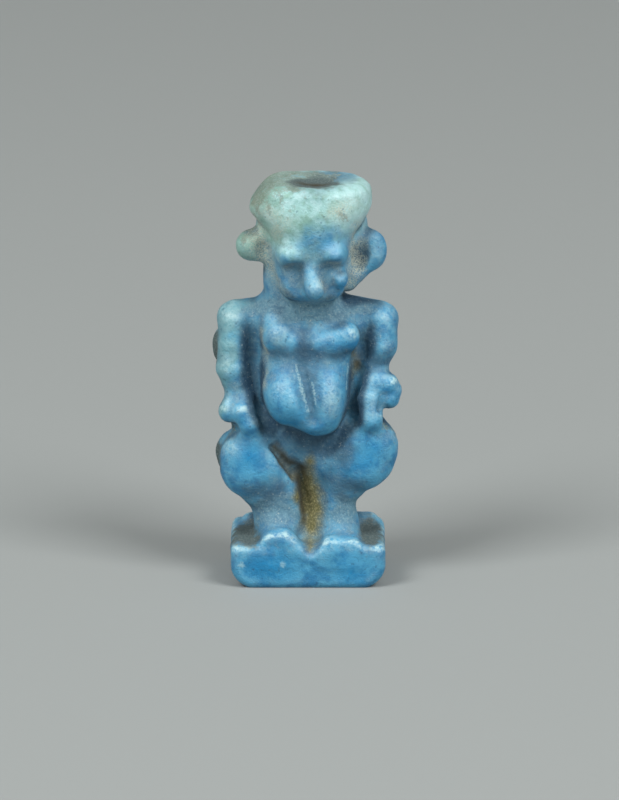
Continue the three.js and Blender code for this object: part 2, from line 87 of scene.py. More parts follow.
class AmuletFigure(bpy.types.PropertyGroup):
    """Sizes and glaze colours of the figure."""

    crown: length("Height", "From the ground to the flat crown", TOP / MM, 40)
    base_half_width: length("Base half width", "Half the width of the base", 4.17, 8)
    cord_hole: length("Cord hole", "Radius of the hole behind the neck", 0.6, 1)
    cell: length("Fineness", "Spacing of the mesh", 0.104, 0.5)
    unevenness: length("Unevenness", "Depth of the soft waves in the surface", 0.035, 0.2)
    pitting: length("Pitting", "Depth of the pits in the worn hollows", 0.045, 0.2)
    blue: tint("Blue glaze", "Clean glaze on the body", (0.07, 0.315, 0.5))
    deep_blue: tint("Mottled blue glaze", "Clouds in the blue glaze", (0.02, 0.18, 0.36))
    # This strong blue is also laid as painted shade under the belly, under the right breast and in the groove of the
    # hooked hand.
    cobalt_and_shade: tint("Strong blue glaze", "Patches where the colour is strongest", (0.006, 0.22, 0.46))
    turquoise: tint("Turquoise glaze", "Greener glaze on the head", (0.33, 0.57, 0.56))
    green: tint("Green glaze", "Greyer and greener clouds in the turquoise", (0.19, 0.35, 0.28))
    # This pale glaze is also laid as painted highlights.
    worn_and_highlight: tint("Worn glaze", "Pale glaze where it is rubbed", (0.45, 0.66, 0.66))
    # This navy is also laid as painted shade in the hollows, under the breasts and the belly and under the knees.
    navy: tint("Pooled glaze", "Glaze in the hollows", (0.016, 0.06, 0.11))
    silt: tint("Silt", "Grey film over the glaze", (0.16, 0.28, 0.33))
    dust: tint("Dust", "Pale grains in the film", (0.42, 0.48, 0.46))
    soil: tint("Soil", "Earth between the legs", (0.11, 0.105, 0.04))
    sand: tint("Sand", "Lighter grains in the soil", (0.27, 0.24, 0.11))
    # This dark earth is also laid as painted shadow on the darker side of the cleft and in the crease.
    mud_and_shade: tint("Mud", "Dark earth in the cleft", (0.035, 0.03, 0.015))
    crust: tint("Crust", "Olive crust on the head", (0.13, 0.16, 0.11))
    cream: tint("Cream", "Pale crust beside the face", (0.5, 0.53, 0.42))
    stain: tint("Stain", "Dark stain on the crown and the base", (0.055, 0.085, 0.085))


class AmuletStudio(bpy.types.PropertyGroup):
    """Floor, light and camera."""

    floor: tint("Paper", "Colour of the floor", (0.29, 0.309, 0.302))
    side_light: FloatProperty(name="Side lights", description="Power of each side light", default=3.7, min=0, unit="POWER")
    top_light: FloatProperty(name="Top light", description="Power of the top light", default=0.4, min=0, unit="POWER")
    sky: FloatProperty(name="Sky", description="Strength of the even light", default=0.09, min=0)
    elevation: FloatProperty(
        name="Camera height", description="Angle of the camera above the floor", default=radians(15), subtype="ANGLE"
    )
    distance: FloatProperty(
        name="Camera distance", description="From the camera to the figure", default=0.4, min=0.1, unit="LENGTH"
    )


# Forms: each is a function of a point that gives its distance from the surface, negative inside


def on_front(form):
    """A form as the camera sees it, carried from the front to the middle of the figure."""
    return lambda x, y, z: np.maximum(form(x, 0 * y, z), y + 0.8)


def ball(centre, radii):
    """A ball, stretched along the axes."""
    cx, cy, cz = centre
    rx, ry, rz = radii

    def form(x, y, z):
        u = (x - cx) / rx
        v = (y - cy) / ry
        w = (z - cz) / rz
        near = np.sqrt(u * u + v * v + w * w)
        slope = np.sqrt((u / rx) ** 2 + (v / ry) ** 2 + (w / rz) ** 2)
        return near * (near - 1) / np.maximum(slope, 1e-6)

    return form


def segment(start, end):
    """A rounded stroke between two stations of x, y, z and radius."""
    ax, ay, az, start_radius = start
    bx, by, bz, end_radius = end
    ux, uy, uz = bx - ax, by - ay, bz - az
    length2 = ux * ux + uy * uy + uz * uz

    def form(x, y, z):
        px, py, pz = x - ax, y - ay, z - az
        t = np.clip((px * ux + py * uy + pz * uz) / length2, 0, 1)
        away = np.sqrt((px - ux * t) ** 2 + (py - uy * t) ** 2 + (pz - uz * t) ** 2)
        return away - start_radius - (end_radius - start_radius) * t

    return form


def limb(*stations):
    """Strokes from station to station, each of x, y, z and radius."""
    return join(0.1, *[segment(a, b) for a, b in zip(stations, stations[1:])])


def join(seam, first, *others):
    """The masses together, run into each other over the seam's width."""

    def form(x, y, z):
        near = first(x, y, z)
        for other in others:
            far = other(x, y, z)
            blend = np.maximum(seam - np.abs(near - far), 0) / seam
            near = np.minimum(near, far) - blend * blend * seam / 4
        return near

    return form


def press(seam, mass, *tools):
    """The mass with each tool pressed into it."""

    def form(x, y, z):
        near = mass(x, y, z)
        for tool in tools:
            far = -tool(x, y, z)
            blend = np.maximum(seam - np.abs(near - far), 0) / seam
            near = np.maximum(near, far) + blend * blend * seam / 4
        return near

    return form


def rounded(a, b, radius):
    """Two distances met at a rounded corner."""
    corner = np.hypot(np.maximum(a + radius, 0), np.maximum(b + radius, 0)) - radius
    return np.minimum(np.maximum(a, b) + radius, 0) + corner


def block(middle, half_width, front, back, low, high, low_corner, high_corner, edge, rear):
    """A block with its own corner radius at the foot, the head and the rear."""
    mid_y = (front + back) / 2
    mid_z = (low + high) / 2

    def form(x, y, z):
        side = np.abs(x - middle) - half_width
        depth = np.abs(y - mid_y) - (back - front) / 2
        height = np.abs(z - mid_z) - (high - low) / 2
        outline = rounded(side, height, np.where(z > mid_z, high_corner, low_corner))
        return np.maximum(rounded(outline, depth, edge), np.where(y > mid_y, rounded(side, depth, rear), -1e3))

    return form


def curve_through(rows):
    """A smooth curve through rows that start with a height, read off at many heights between them."""
    rows = np.array(rows)
    heights = rows[:, 0]
    values = rows[:, 1:]
    fine = np.linspace(heights[0], heights[-1], 40 * len(rows))
    before = np.maximum(np.arange(len(rows)) - 1, 0)
    after = np.minimum(np.arange(len(rows)) + 1, len(rows) - 1)
    slopes = (values[after] - values[before]) / (heights[after] - heights[before])[:, None]
    n = np.clip(np.searchsorted(heights, fine), 1, len(rows) - 1)
    span = (heights[n] - heights[n - 1])[:, None]
    t = ((fine - heights[n - 1]) / span[:, 0])[:, None]
    rise = values[n] - values[n - 1]
    a, b = slopes[n - 1] * span, slopes[n] * span
    curve = values[n - 1] + a * t + (3 * rise - 2 * a - b) * t**2 + (a + b - 2 * rise) * t**3
    return fine, curve.T


def stack(power, edge, *rows):
    """A mass given by its level sections: height, middle, front, back and half width."""
    heights, columns = curve_through(rows)
    low, high = rows[0][0], rows[-1][0]

    def form(x, y, z):
        middle, front, back, half_width = [np.interp(z, heights, column).astype(z.dtype) for column in columns]
        half_depth = (back - front) / 2
        u = np.abs(x - middle) / half_width
        v = np.abs(y - (front + back) / 2) / half_depth
        a = ((u**power + v**power) ** (1 / power) - 1) * np.minimum(half_width, half_depth) + edge
        b = np.abs(z - (low + high) / 2) - (high - low) / 2 + edge
        return np.minimum(np.maximum(a, b), 0) + np.hypot(np.maximum(a, 0), np.maximum(b, 0)) - edge

    return form


def beyond(point, normal):
    """All that lies past a plane."""
    px, py, pz = point
    nx, ny, nz = Vector(normal).normalized()
    return lambda x, y, z: -((x - px) * nx + (y - py) * ny + (z - pz) * nz)


# Masses of the figure


def cleft():
    """The gap between the legs: a narrow slit beside a wider slope, which runs out over the front of the base."""
    slit = stack(
        2,
        0.2,
        (2.6, 0.08, -3.8, -1.9, 0.3),
        (3.5, 0.0, -3.4, -0.95, 0.36),
        (4.6, -0.13, -3.2, -0.5, 0.38),
        (5.5, -0.28, -3.2, -0.6, 0.36),
        (6.3, -0.5, -3.2, -1.0, 0.3),
        (7.3, -0.85, -3.2, -1.75, 0.2),
    )
    slope = stack(
        2,
        0.2,
        (1.8, 0.14, -4.6, -3.1, 0.2),
        (2.3, 0.16, -4.2, -2.65, 0.42),
        (2.8, 0.2, -3.8, -1.85, 0.55),
        (3.5, 0.3, -3.4, -1.15, 0.68),
        (4.5, 0.34, -3.2, -0.95, 0.72),
        (5.5, 0.2, -3.2, -1.0, 0.66),
        (6.4, 0.0, -3.2, -1.35, 0.45),
    )
    return join(0.25, slit, slope)


def foot(middle, half_width, high, corner):
    """A foot that ends flush with the front of the base."""
    return block(
        middle=middle,
        half_width=half_width,
        front=BASE["front"],
        back=-0.8,
        low=1,
        high=high,
        low_corner=0.3,
        high_corner=corner,
        edge=0.3,
        rear=0.3,
    )


def base(half_width):
    """The slab and the feet on it."""
    slab = block(middle=0, half_width=half_width, low=-0.06, high_corner=0.4, **BASE)
    left_instep = limb((-1.75, -0.7, 2.95, 0.85), (-1.55, -2.1, 2.6, 0.6))
    right_instep = limb((1.8, -0.7, 2.8, 0.85), (1.7, -2.1, 2.2, 0.6))
    left_toes = limb((-1.3, -2.65, 2.55, 0.47), (-0.1, -2.65, 1.85, 0.47))
    right_toes = limb((1.2, -2.65, 2.15, 0.45), (0.35, -2.65, 1.75, 0.45))
    left_foot = join(0.5, foot(-1.62, 1.0, 3.05, 0.8), left_instep, left_toes)
    right_foot = join(0.5, foot(1.75, 1.2, 2.68, 0.55), right_instep, right_toes)
    left_heel = limb((-3.0, 1.9, 2.15, 0.72), (-1.5, 1.5, 2.2, 0.8))
    right_heel = limb((3.25, 1.9, 2.15, 0.72), (1.5, 1.5, 2.2, 0.8))
    return join(0.3, slab, left_foot, right_foot, join(0.3, left_heel, right_heel))


def left_leg():
    """The leg on the viewer's left, bowed out at the knee."""
    hip = (-2.2, 0.1, HIP - 0.7, 1.45)
    thigh = (-3.1, -0.75, 6.7, 1.62)
    knee = (-3.04, -0.75, 6.2, 1.72)
    shin = (-2.45, -0.5, 5.3, 1.45)
    calf = (-1.95, -0.35, 4.45, 1.32)
    ankle = (-1.65, -0.45, 3.3, 1.22)
    heel = (-1.6, -0.6, 2.4, 1.25)
    front = limb((-2.0, -0.8, 6.4, 1.0), (-1.35, -0.75, 4.6, 0.9), (-1.2, -0.65, 3.2, 0.9))
    rear = limb((-2.7, 0.5, 6.6, 1.2), (-1.7, 0.5, 4.2, 0.85), (-1.6, 0.6, 2.4, 0.8))
    return join(0.6, limb(hip, thigh, knee, shin, calf, ankle, heel), front, rear)


def right_leg():
    """The leg on the viewer's right, with the higher knee and the thinner ankle."""
    hip = (2.2, 0.1, HIP - 0.5, 1.45)
    thigh = (3.12, -0.75, 7.25, 1.74)
    knee = (2.9, -0.75, 6.7, 1.76)
    shin = (2.1, -0.5, 5.6, 1.32)
    calf = (1.6, -0.4, 4.6, 0.95)
    ankle = (1.55, -0.5, 3.3, 0.92)
    heel = (1.6, -0.6, 2.3, 1.0)
    front = limb((2.3, -0.9, 7.0, 1.0), (1.65, -0.8, 4.6, 0.75), (1.6, -0.7, 3.2, 0.75))
    inner = ball((1.6, -0.7, 6.6), (1.3, 1.1, 1.0))
    rear = limb((2.6, 0.5, 6.8, 1.2), (1.6, 0.5, 4.4, 0.75), (1.6, 0.6, 2.4, 0.75))
    return join(0.6, limb(hip, thigh, knee, shin, calf, ankle, heel), front, inner, rear)


def legs():
    """Both legs on a thin web, flattened at the knees and hollowed under the belly."""
    web = block(
        middle=0.1,
        half_width=1.3,
        front=-1.3,
        back=0.85,
        low=1,
        high=HIP,
        low_corner=0.3,
        high_corner=0.3,
        edge=0.3,
        rear=0.3,
    )
    left_flat = beyond((-3.0, -2.05, 6.6), (-0.2, -1, 0.05))
    right_flat = beyond((3.0, -2.05, 6.9), (0.2, -1, 0.05))
    crease = limb((-1.95, -1.55, 7.5, 0.12), (-1.4, -1.5, 6.75, 0.2), (-0.7, -1.3, 5.95, 0.3))
    groin = limb((-1.6, -2.6, 8.3, 0.5), (-0.1, -2.2, 7.0, 0.6), (1.4, -2.6, 8.2, 0.5))
    flattened = press(0.9, join(0.6, left_leg(), right_leg(), web), left_flat, right_flat)
    return press(0.6, press(0.3, flattened, crease), groin)


def chest():
    """Two flat breasts, the right one drawn out to the arm."""
    left = limb((-1.7, -1.1, 14.2, 0.7), (-1.55, -1.4, 13.7, 0.78), (-1.05, -1.5, 13.45, 0.62))
    right = limb((0.65, -1.6, 13.3, 0.5), (1.4, -1.6, 13.4, 0.62), (2.1, -1.5, 13.6, 0.68))
    return join(0.5, left, right)


def belly():
    """The belly, which hangs in two lobes to a point right of the middle."""
    left = ball((-1.1, -1.6, 10.3), (1.28, 1.55, 1.5))
    right = ball((1.08, -1.6, 10.1), (0.92, 1.5, 1.75))
    point = ball((0.5, -1.6, 9.15), (0.8, 1.35, 0.9))
    return join(0.5, left, right, point)


def valley():
    """The wide fall between the lobes of the belly."""
    top = (-0.1, -2.95, 12.6, 0.75)
    end = (0.3, -3.35, 9.4, 0.3)
    return limb(top, (-0.05, -3.35, 11.4, 0.8), (0.12, -3.4, 10.4, 0.55), end)


def furrow():
    """The thin groove that runs down the valley."""
    return limb((-0.3, -2.35, 12.3, 0.3), (-0.05, -2.75, 11.2, 0.26), (0.15, -2.98, 10.2, 0.2), (0.3, -3.14, 9.3, 0.12))


def folds():
    """The thin ridges on both sides of the groove."""
    left = limb((-0.65, -2.05, 12.2, 0.12), (-0.29, -2.49, 11.0, 0.14), (0.03, -2.85, 9.7, 0.1))
    right = limb((0.0, -2.15, 11.9, 0.1), (0.24, -2.49, 11.0, 0.12), (0.42, -2.76, 10.2, 0.1))
    return join(0.1, left, right)


def torso():
    """The trunk with its chest, belly and hips."""
    trunk = stack(
        2.5,
        0.5,
        (8.3, 0.3, -2.2, 1.6, 0.75),
        (8.9, 0.25, -2.75, 1.7, 1.35),
        (9.6, 0.1, -3.0, 1.7, 1.95),
        (10.5, -0.05, -3.0, 1.7, 2.3),
        (11.6, -0.05, -2.6, 1.7, 2.4),
        (12.7, -0.05, -2.05, 1.7, 2.45),
        (13.9, 0.0, -1.65, 1.7, 2.6),
        (15.2, 0.0, -1.2, 1.7, 2.6),
    )
    hips = ball((0.1, 0.15, 7.7), (3.1, 1.45, 1.5))
    front = join(0.5, join(0.8, trunk, chest()), belly())
    grooved = press(0.2, press(0.5, front, valley()), furrow())
    return join(0.6, join(0.15, grooved, folds()), hips)


def left_arm():
    """The arm on the viewer's left, with its fist on the thigh."""
    shoulder = (-3.98, -0.3, 14.25, 0.78)
    upper = (-4.1, -0.55, 12.9, 0.7)
    elbow = (-4.12, -0.6, 11.65, 0.8)
    wrist = (-3.82, -0.6, 10.5, 0.62)
    knuckle = limb((-3.9, -0.75, 10.0, 0.56), (-4.18, -0.95, 9.35, 0.64))
    fist = limb(
        (-3.5, -0.85, 9.9, 0.54),
        (-3.48, -1.35, 9.35, 0.64),
        (-3.15, -1.55, 8.75, 0.54),
        (-3.0, -1.3, 8.0, 0.5),
    )
    heel_of_hand = ball((-3.45, -0.5, 9.0), (0.7, 0.6, 0.9))
    return join(0.3, limb(shoulder, upper, elbow, wrist), knuckle, fist, heel_of_hand)


def right_arm():
    """The arm on the viewer's right, with a hooked hand over the thigh."""
    shoulder = (3.95, -0.3, 14.2, 0.8)
    upper = (4.0, -0.55, 12.85, 0.75)
    elbow = (3.6, -0.5, 11.9, 0.62)
    wrist = (3.75, -0.8, 11.2, 0.58)
    palm = limb((3.6, -1.0, 10.95, 0.62), (3.35, -1.35, 10.1, 0.66), (3.4, -1.6, 9.05, 0.62))
    knuckles = limb((3.7, -0.95, 11.0, 0.62), (4.25, -1.05, 10.85, 0.62), (4.5, -0.95, 10.5, 0.56), (4.37, -1.05, 10.1, 0.58))
    grip = segment((4.02, -1.85, 10.4, 0.2), (3.95, -1.85, 9.7, 0.24))
    return press(0.2, join(0.3, limb(shoulder, upper, elbow, wrist), palm, knuckles), grip)


def arms():
    """Both arms, the shoulders and the thin flanges left by the mould."""
    shoulders = limb((-3.9, 0.25, SHOULDER, 0.8), (3.85, 0.25, SHOULDER - 0.05, 0.8))
    upper_flange = ball((-4.45, 0.65, 12.6), (0.62, 0.45, 0.9))
    lower_flange = ball((-4.3, 0.5, 6.5), (0.64, 0.45, 1.0))
    return join(0.35, join(0.4, shoulders, left_arm(), right_arm()), upper_flange, lower_flange)


def back():
    """The plainer rear of the figure, whose front shows in the gaps beside the trunk."""
    trunk = stack(
        3,
        0.5,
        (6.3, 0, -0.1, 1.2, 3.3),
        (7.5, 0, -0.3, 1.6, 3.9),
        (9.0, 0, -0.45, 1.6, 3.9),
        (10.5, 0, -0.5, 1.35, 3.85),
        (12.0, 0, -0.5, 1.45, 4.0),
        (13.5, 0, -0.4, 1.7, 4.1),
        (15.1, 0, -0.3, 1.5, 3.8),
    )
    muscles = [
        ball((side * across, 1.08, height), radii)
        for side in (-1, 1)
        for across, height, radii in ((1.85, 13.3, (1.5, 1.0, 1.5)), (1.53, 8.05, (1.65, 1.5, 1.55)))
    ]
    spine = limb((0, 2.45, 14.6, 0.5), (0, 2.1, 11.5, 0.6), (0, 2.3, 9.0, 0.5))
    return press(0.7, join(0.8, trunk, join(0.5, *muscles)), spine)


def skull(crown):
    """The broad head, flat on top, with a dished crown."""
    mass = stack(
        2.4,
        0.5,
        (15.8, 0.25, -2.5, 1.2, 1.35),
        (16.4, 0.22, -2.55, 1.4, 1.75),
        (17.0, 0.18, -2.6, 1.5, 2.0),
        (17.8, 0.13, -2.6, 1.6, 2.12),
        (18.5, 0.13, -2.65, 1.9, 2.22),
        (19.2, 0.13, -2.8, 2.3, 2.45),
        (19.9, 0.13, -2.88, 2.55, 2.9),
        (20.6, 0.08, -2.85, 2.65, 3.3),
        (21.3, 0.1, -2.7, 2.6, 3.3),
        (crown, 0.15, -2.55, 2.5, 3.1),
    )
    bevelled = press(0.5, mass, beyond((-2.5, 0, crown - 0.45), (-0.7, 0, 0.72)))
    dish = ball((0.45, -0.5, crown + 0.65), (1.8, 1.95, 0.86))
    occiput = ball((0.2, 0.5, 19.4), (3.0, 2.0, 2.0))
    return join(0.3, press(0.3, bevelled, dish), occiput)


def face(crown):
    """Worn features on the front of the head."""
    left_brow = ball((-0.92, -2.15, 18.35), (0.7, 0.95, 0.58))
    right_brow = ball((1.4, -2.15, 18.4), (0.64, 0.95, 0.58))
    jaw = limb((-0.85, -1.7, 16.4, 0.55), (1.25, -1.7, 16.35, 0.55))
    eyes = [ball((-0.78, -3.0, 17.55), (0.58, 0.6, 0.4)), ball((1.25, -3.0, 17.6), (0.6, 0.58, 0.4))]
    mouth = [ball((-0.72, -2.95, 16.75), (0.5, 0.62, 0.75)), ball((1.17, -2.95, 16.7), (0.4, 0.62, 0.7))]
    nose = segment((0.08, -2.35, 17.55, 0.42), (0.35, -2.7, 16.55, 0.54))
    cheek = ball((1.7, -1.95, 16.95), (0.45, 0.7, 0.5))
    front = join(0.6, skull(crown), join(0.3, left_brow, right_brow), jaw)
    return join(0.2, press(0.45, front, *eyes, *mouth), nose, cheek)


def ears():
    """Round ears, hollowed beside the head."""
    left = limb((-3.02, -0.35, 18.42, 0.87), (-2.2, -0.5, 18.55, 1.05))
    right = join(
        0.4,
        ball((3.15, -0.2, 18.15), (1.1, 0.6, 1.15)),
        limb((3.4, -0.2, 17.75, 0.6), (2.1, -0.5, 16.5, 0.6)),
        limb((2.2, -0.6, 18.3, 0.6), (2.1, -0.7, 17.2, 0.6)),
    )
    hollows = [ball((-2.4, -1.6, 18.2), (0.5, 0.5, 0.75)), ball((2.72, -1.1, 17.95), (0.48, 0.42, 0.75))]
    return press(0.45, join(0.4, left, right), *hollows)


def neck():
    """The thick neck, with the pierced lug behind it."""
    column = stack(
        3.2,
        0.6,
        (13.9, -0.3, -1.2, 1.9, 2.3),
        (15.0, -0.3, -1.2, 2.2, 2.12),
        (16.2, -0.3, -1.2, 2.65, 2.12),
        (17.1, -0.3, -1.2, 2.6, 2.12),
        (17.9, -0.3, -1.2, 2.3, 2.1),
    )
    throat = ball((0.2, -0.8, 15.3), (1.3, 1.0, 1.0))
    return join(0.6, column, throat)


def figure_form(size):
    """The whole figure as one form."""
    hole = (CORD_HOLE["y"], CORD_HOLE["z"], size.cord_hole / MM)
    cord_hole = segment((-5, *hole), (5, *hole))
    head = press(0.2, join(0.45, face(size.crown / MM), ears(), neck()), cord_hole)
    upper = join(0.75, torso(), arms(), back())
    lower = press(0.35, join(0.7, base(size.base_half_width / MM), legs()), cleft())
    return join(0.5, lower, upper, head)


# The skin: one vertex for each grid cell that the surface crosses, drawn onto the form


class Clay:
    """A form measured once on a grid, and read off between the grid's points."""

    def __init__(self, form, low, high, cell):
        self.cell = cell
        x, y, z = [np.arange(a, b + cell, cell, dtype=np.float32) for a, b in zip(low, high)]
        z = z - z[0] - cell / 2
        self.axes = (x, y, z)
        self.values = form(x[:, None, None], y[None, :, None], z[None, None, :])
        self.last = np.array(self.values.shape) - 2

    def at(self, points):
        """The form's distance at each point."""
        place = (points - [axis[0] for axis in self.axes]) / self.cell
        corner = np.clip(np.floor(place).astype(int), 0, self.last)
        u, v, w = (place - corner).T
        i, j, k = corner.T
        total = 0
        for a, across in ((0, 1 - u), (1, u)):
            for b, along in ((0, 1 - v), (1, v)):
                for c, up in ((0, 1 - w), (1, w)):
                    total = total + self.values[i + a, j + b, k + c] * across * along * up
        return total

    def slope(self, points):
        """How fast the distance grows along each axis."""
        steps = np.eye(3) * self.cell
        return np.stack([self.at(points + step) - self.at(points - step) for step in steps], 1) / (2 * self.cell)

    def normals(self, points):
        """The outward direction at each point."""
        slope = self.slope(points)
        return slope / np.maximum(np.linalg.norm(slope, axis=1), 1e-6)[:, None]


def skin(clay):
    """Vertices and four-sided faces of the clay's surface. The layer on the ground is flat."""
    field = clay.values.copy()
    field[:, :, 0] = 1
    shape = np.array(field.shape)
    total = np.zeros((*(shape - 1), 3), np.float32)
    count = np.zeros(shape - 1, np.float32)
    crossings = []
    for axis in range(3):
        ends = [np.take(field, range(n, shape[axis] - 1 + n), axis) for n in (0, 1)]
        edges = np.argwhere((ends[0] < 0) != (ends[1] < 0))
        start, end = [values[tuple(edges.T)] for values in ends]
        place = np.stack([values[n] for values, n in zip(clay.axes, edges.T)], 1)
        place[:, axis] += clay.cell * start / (start - end)
        ring = ring_of_cells(edges, axis)
        for cells in ring:
            np.add.at(total, tuple(cells.T), place)
            np.add.at(count, tuple(cells.T), 1)
        crossings.append((ring, start < 0))
    used = count > 0
    index = np.full(count.shape, -1)
    index[used] = np.arange(used.sum())
    points = (total[used] / count[used][:, None]).astype(np.float64)
    on_ground = np.argwhere(used)[:, 2] == 0
    points[on_ground, 2] = 0
    faces = []
    for ring, outward in crossings:
        corners = np.stack([index[tuple(cells.T)] for cells in ring], 1)
        corners[~outward] = corners[~outward][:, ::-1]
        faces.append(corners)
    return points, np.concatenate(faces), on_ground


def ring_of_cells(edges, axis):
    """The four cells round each grid edge, in turning order."""
    b, c = (axis + 1) % 3, (axis + 2) % 3
    ring = []
    for step_b, step_c in ((1, 1), (0, 1), (0, 0), (1, 0)):
        cells = edges.copy()
        cells[:, b] -= step_b
        cells[:, c] -= step_c
        ring.append(cells)
    return ring


def settle(clay, points, faces, on_ground):
    """Evens out the vertices along the skin and draws them onto the clay."""
    loose = ~on_ground
    for _ in range(3):
        total = np.zeros_like(points)
        count = np.zeros(len(points))
        for n in range(4):
            for m in ((n + 1) % 4, (n + 3) % 4):
                np.add.at(total, faces[:, n], points[faces[:, m]])
                np.add.at(count, faces[:, n], 1)
        points[loose] += 0.5 * (total[loose] / count[loose][:, None] - points[loose])
        for _ in range(2):
            moved = points[loose]
            slope = clay.slope(moved)
            steep = np.maximum((slope**2).sum(1), 0.25)
            moved -= slope * np.clip(clay.at(moved) / steep, -clay.cell, clay.cell)[:, None]
            moved[:, 2] = np.maximum(moved[:, 2], clay.cell / 3)
            points[loose] = moved
    return points


# Wear, colour, painted shade and painted highlights, laid on the skin as masks from 0 to 1


def waves(points, per_mm, octaves=2, seed=0.0):
    """Smooth noise at each point, about -1 to 1."""
    offset = Vector((seed, -seed, seed / 2))
    return np.array([noise.fractal(Vector(p) * per_mm + offset, 1.0, 2.0, octaves) for p in points])


def fade(values, low, high):
    """0 below low and 1 above high, with a soft step between."""
    t = np.clip((values - low) / (high - low), 0, 1)
    return t * t * (3 - 2 * t)


def cover(points, soft, region, ragged=0.0, edge=None):
    """A mask that is 1 well inside a form, with a soft and ragged edge."""
    distance = region(*points.T)
    if edge is not None:
        distance = distance + ragged * edge
    return fade(-distance, -soft, soft)


def hollowness(clay, points, reach):
    """How closed in a point is: 0 on open surface, towards 1 deep in a hollow."""
    slope = clay.slope(points)
    steep = np.maximum(np.linalg.norm(slope, axis=1), 0.3)
    open_air = clay.at(points + slope / steep[:, None] * reach) / (reach * steep)
    return np.clip(1 - open_air, 0, 1)


def roundness(clay, points, reach):
    """How much the surface bulges, per millimetre: 2 on a ball of radius 1, below 0 in a hollow."""
    steps = np.concatenate([np.eye(3), -np.eye(3)]) * reach
    around = sum(clay.at(points + step) for step in steps) / 6
    return 6 * (around - clay.at(points)) / reach**2


def carve(clay, points, size):
    """Moves the skin by the soft waves of the mould and the pits of the wear."""
    lift = fade(points[:, 2], 0.05, 0.6)
    swell = waves(points, 0.9, 2, 3.0) * size.unevenness / MM
    pitted = fade(hollowness(clay, points, 0.7), 0.1, 0.5) * 0.8 + 0.2
    pits = -fade(waves(points, 3.6, 2, 11.0), 0.15, 0.7) * pitted * size.pitting / MM
    grains = waves(points, 5.0, 1, 5.0) * pitted * size.pitting / MM * 0.35
    return points + clay.normals(points) * ((swell + pits + grains) * lift)[:, None]


def spot(x, z, across, y=-2.5, high=None):
    """A round region on the front, at a height and a distance from the middle."""
    return ball((x, y, z), (across, 1.2, high or across))


def gutter_region():
    """Painted shade in the hollow that runs down one side of the trunk, under the belly and up the other side, and
    between the breasts; on the crown, dark glaze in the dish and along its front.
    """
    return join(
        0.3,
        limb((-3.2, -0.7, 13.9, 0.3), (-3.15, -0.6, 12.0, 0.4), (-2.9, -0.8, 10.2, 0.4), (-2.3, -1.2, 8.8, 0.4)),
        limb((-2.3, -1.2, 8.8, 0.4), (-1.0, -1.6, 8.2, 0.55), (0.6, -1.7, 8.0, 0.6), (1.8, -1.5, 8.5, 0.5)),
        limb((1.8, -1.5, 8.5, 0.5), (2.5, -1.1, 9.6, 0.4), (2.65, -0.8, 11.6, 0.3), (3.05, -0.7, 13.6, 0.3)),
        limb((-0.25, -1.8, 13.9, 0.3), (-0.2, -2.1, 12.9, 0.3)),
        ball((1.2, 0.8, 21.7), (1.2, 1.4, 0.5)),
        limb((-0.6, -2.1, 21.7, 0.25), (0.5, -2.3, 21.7, 0.3), (1.4, -1.9, 21.7, 0.2)),
    )


def shade_region():
    """Painted shade in greyed blue: under the breasts, between the lobes of the belly, on the insides of the thighs,
    under the knees and on the right arm below the shoulder.
    """
    return join(
        0.4,
        limb((-1.8, -2.0, 12.75, 0.3), (-0.2, -2.2, 12.6, 0.5), (2.0, -2.0, 12.8, 0.35)),
        limb((-0.2, -2.3, 12.6, 0.5), (0.0, -2.7, 11.0, 0.4), (0.25, -2.9, 9.6, 0.15)),
        limb((-2.0, -1.9, 7.9, 0.4), (-0.9, -1.9, 7.1, 0.5), (-0.2, -1.8, 7.6, 0.7), (1.7, -2.0, 7.2, 0.8)),
        limb((-1.3, -1.8, 5.4, 0.4), (-2.2, -1.9, 5.0, 0.5), (-3.1, -1.7, 5.3, 0.3)),
        limb((0.9, -1.8, 5.6, 0.4), (1.9, -1.8, 5.2, 0.6), (2.8, -1.6, 5.5, 0.3)),
        limb((3.3, -1.0, 13.2, 0.3), (3.6, -1.1, 12.2, 0.4), (4.3, -1.2, 12.8, 0.35)),
    )


def socket_region():
    """Painted shade under the brow, beside the nose and in one ear."""
    return join(
        0.2,
        limb((-1.1, -2.5, 17.75, 0.2), (-0.5, -2.5, 17.6, 0.3)),
        limb((0.8, -2.6, 17.5, 0.2), (0.95, -2.6, 16.8, 0.3), (1.3, -2.4, 16.3, 0.3)),
        limb((-0.55, -2.6, 17.0, 0.1), (-0.9, -2.5, 16.4, 0.3)),
        ball((2.75, -0.9, 17.9), (0.4, 0.5, 0.65)),
    )


def film_region():
    """Grainy grey film: round the face, on the shoulders and the chest, and over the shins and the insteps."""
    return join(
        0.4,
        ball((0.1, -1.2, 15.1), (4.3, 1.9, 0.85)),
        ball((0.1, -2.4, 17.3), (2.0, 0.9, 1.2)),
        ball((-2.8, -0.6, 18.0), (0.7, 0.8, 1.0)),
        ball((2.9, -0.5, 17.8), (0.8, 0.8, 1.3)),
        limb((-2.4, -1.3, 14.2, 0.4), (-2.3, -1.7, 10.4, 0.3)),
        limb((-4.0, -1.1, 11.0, 0.4), (-3.6, -1.3, 10.6, 0.4)),
        ball((-1.6, -1.6, 4.1), (1.6, 1.4, 1.15)),
        ball((1.8, -1.4, 4.1), (1.3, 1.4, 1.15)),
        limb((-1.9, -1.4, 2.9, 0.6), (1.9, -1.4, 2.7, 0.6)),
    )


